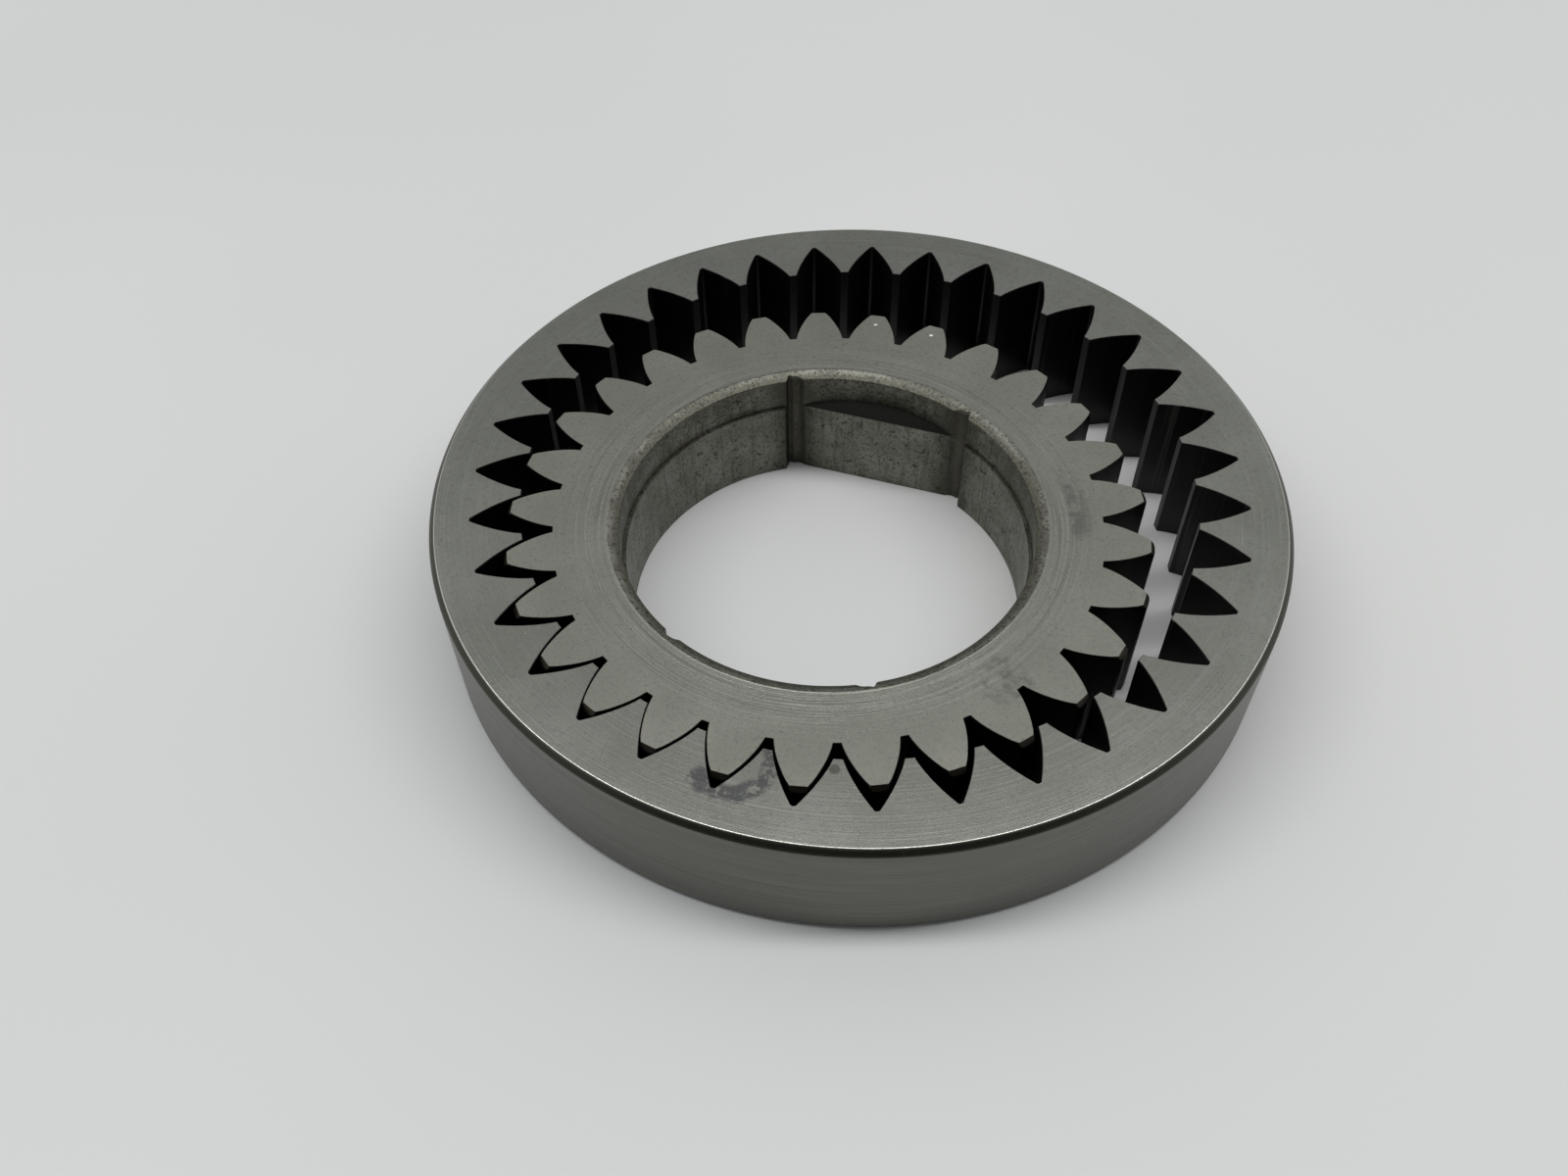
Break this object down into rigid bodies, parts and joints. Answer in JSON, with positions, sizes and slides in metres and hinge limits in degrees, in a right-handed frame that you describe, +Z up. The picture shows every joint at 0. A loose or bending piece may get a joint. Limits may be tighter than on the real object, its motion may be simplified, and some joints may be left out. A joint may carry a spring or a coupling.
{
  "type": "internal ring gear set",
  "caption": "Internal ring gear with the smaller drive gear that meshes off centre inside it, from a crescent oil pump; the drive gear has a flatted bore.",
  "frame": {"origin": "on the ring gear's axis, in the plane of both gears' lower faces", "axes": "+Z up along the ring gear's axis, towards the counterbored side of the drive gear; the two gears' line of centres lies along Y, with the teeth in mesh at -Y and the crescent space at +Y"},
  "size_m": [0.103, 0.103, 0.0159],
  "materials": {
    "ring_steel": "ground and worn",
    "drive_steel": "ground and worn, with oxidised bore"
  },
  "bodies": {
    "root": {"ring_gear": "ring_steel", "drive_gear": "drive_steel"}
  },
  "joints": []
}
